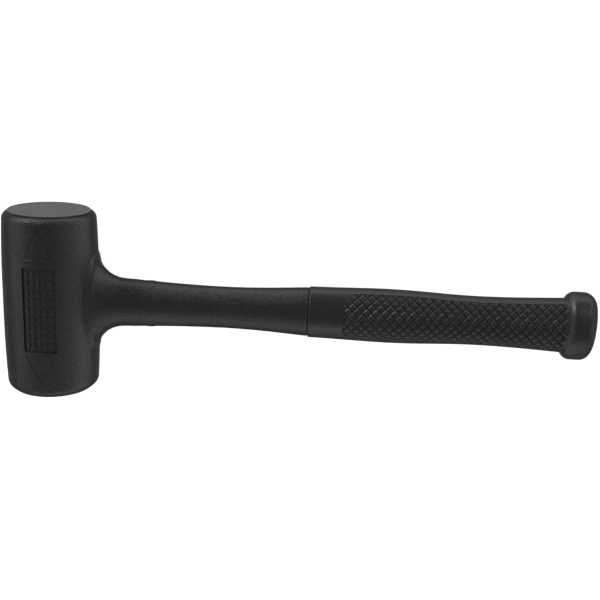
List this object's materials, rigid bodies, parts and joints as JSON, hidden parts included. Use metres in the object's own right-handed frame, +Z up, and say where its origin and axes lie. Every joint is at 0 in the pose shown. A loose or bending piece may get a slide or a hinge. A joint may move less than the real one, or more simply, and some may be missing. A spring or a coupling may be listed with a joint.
{
  "type": "dead blow mallet",
  "caption": "Dead blow mallet: barrel head with a sealed shot canister, cast over a steel-cored handle with a knurled grip and butt knob.",
  "frame": {"origin": "centre of the bounding box's underside: the mallet lies on its side on the plane z = 0, resting on its barrel and on its knob", "axes": "+X from the head towards the butt (the handle dips 2.1 degrees towards the butt), +Y along the head towards the left striking face, +Z up out of the side with the label panel"},
  "size_m": [0.321, 0.0984, 0.0511],
  "materials": {
    "head_urethane": "matt cast urethane with a fine grain",
    "grip_urethane": "matt cast urethane with moulded diamonds",
    "canister_steel": "drawn tube and pressed caps",
    "core_steel": "turned bar",
    "shot_steel": "tumbled shot"
  },
  "bodies": {
    "mallet": {"head_casing": "head_urethane", "grip_sleeve": "grip_urethane", "canister_tube": "canister_steel", "canister_cap_left": "canister_steel", "canister_cap_right": "canister_steel", "core_socket": "core_steel", "core_rod": "core_steel", "socket_pin": "core_steel", "anchor_washer": "core_steel", "anchor_nut": "core_steel"},
    "shot": {"shot_charge": "shot_steel"}
  },
  "joints": [
    {"name": "shot_slide", "type": "slide", "parent": "mallet", "child": "shot", "axis": [0, 1, 0], "range_m": [-0.0097, 0.0097]}
  ]
}
